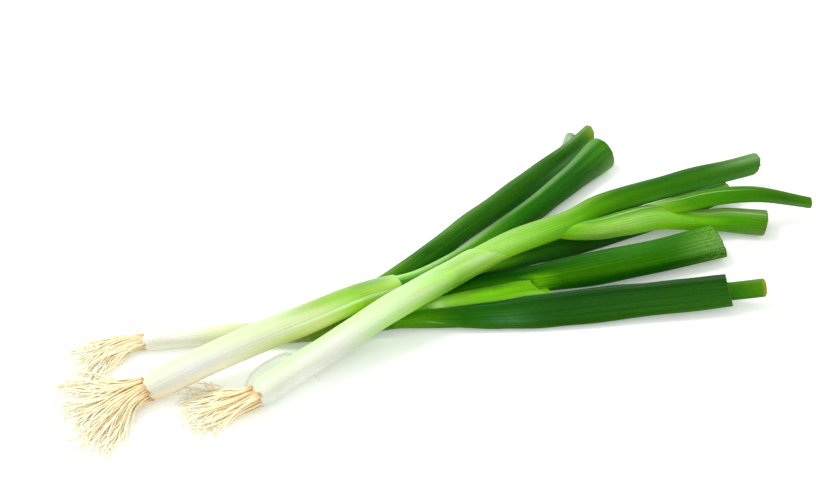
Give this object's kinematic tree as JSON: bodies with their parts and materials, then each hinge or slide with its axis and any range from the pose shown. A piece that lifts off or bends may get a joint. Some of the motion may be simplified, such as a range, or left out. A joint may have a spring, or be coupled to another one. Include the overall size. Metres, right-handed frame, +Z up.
{
  "type": "spring onion bunch",
  "caption": "Loose bunch of spring onions lying crossed, with rooted white stems and hollow green leaves cut to length.",
  "frame": {"origin": "on the surface that the bunch lies on, under the middle of its bounding box", "axes": "+X runs along the bunch from the roots to the cut leaf ends, +Z is up"},
  "size_m": [0.3697, 0.1371, 0.0253],
  "materials": {
    "root": "dry, fine, cream to light brown root threads on a brown plate",
    "stem": "satin white turning pale green, with fine lengthwise fibres",
    "sheath": "satin bright green with a pale papery margin",
    "pale_leaf": "satin pale green turning green towards the cut end",
    "neck_leaf": "satin bright green turning dark green, with fine lengthwise veins",
    "young_leaf": "satin mid green with fine veins",
    "dark_leaf": "satin dark green with fine lengthwise veins and a light waxy bloom"
  },
  "bodies": {
    "root": {"front_roots": "root", "front_shank": "stem", "front_outer_leaf": "dark_leaf", "front_upper_leaf": "neck_leaf", "front_middle_leaf": "pale_leaf", "front_inner_leaf": "young_leaf", "middle_roots": "root", "middle_shank": "stem", "middle_outer_leaf": "dark_leaf", "middle_inner_leaf": "neck_leaf", "middle_back_leaf": "dark_leaf", "back_roots": "root", "back_shank": "stem", "back_outer_leaf": "dark_leaf", "back_sheath": "sheath", "back_second_leaf": "dark_leaf", "back_inner_leaf": "young_leaf"}
  },
  "joints": []
}
